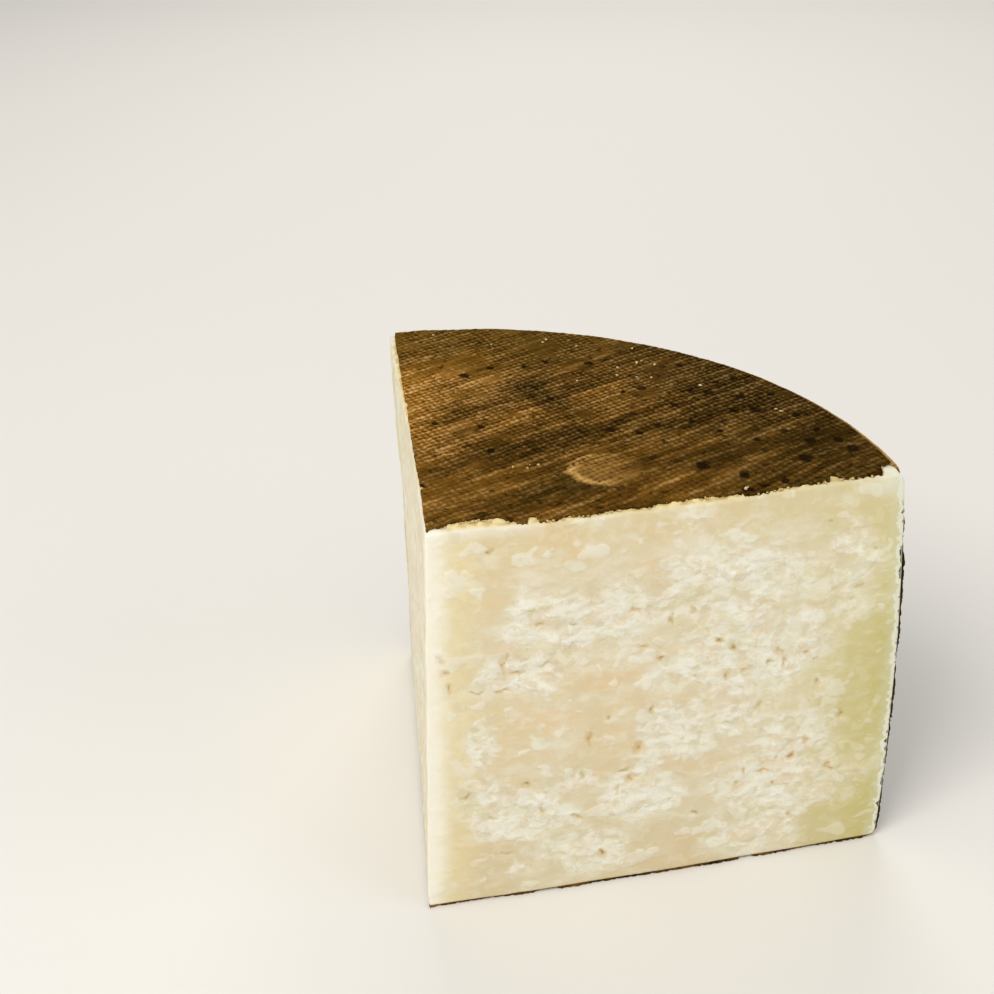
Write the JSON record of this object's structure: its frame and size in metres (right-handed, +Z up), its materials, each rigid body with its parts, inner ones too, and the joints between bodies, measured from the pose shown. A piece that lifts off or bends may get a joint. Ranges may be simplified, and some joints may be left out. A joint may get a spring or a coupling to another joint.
{
  "type": "aged sheep cheese wedge",
  "caption": "Wedge cut from a low round wheel of aged sheep cheese: crumbly pale paste on its straight cuts, thin brown rind printed with fine ridges.",
  "frame": {"origin": "middle of the wedge's footprint, on the surface it stands on", "axes": "+Z up; the front cut faces -Y and runs along X from the thin edge at -X to the rind at +X; the left cut faces -X; the round rind side faces +X and +Y"},
  "size_m": [0.1095, 0.1071, 0.1002],
  "materials": {
    "paste": "matte",
    "rind": "matte"
  },
  "bodies": {
    "root": {"cheese_wedge": "paste"}
  },
  "joints": []
}
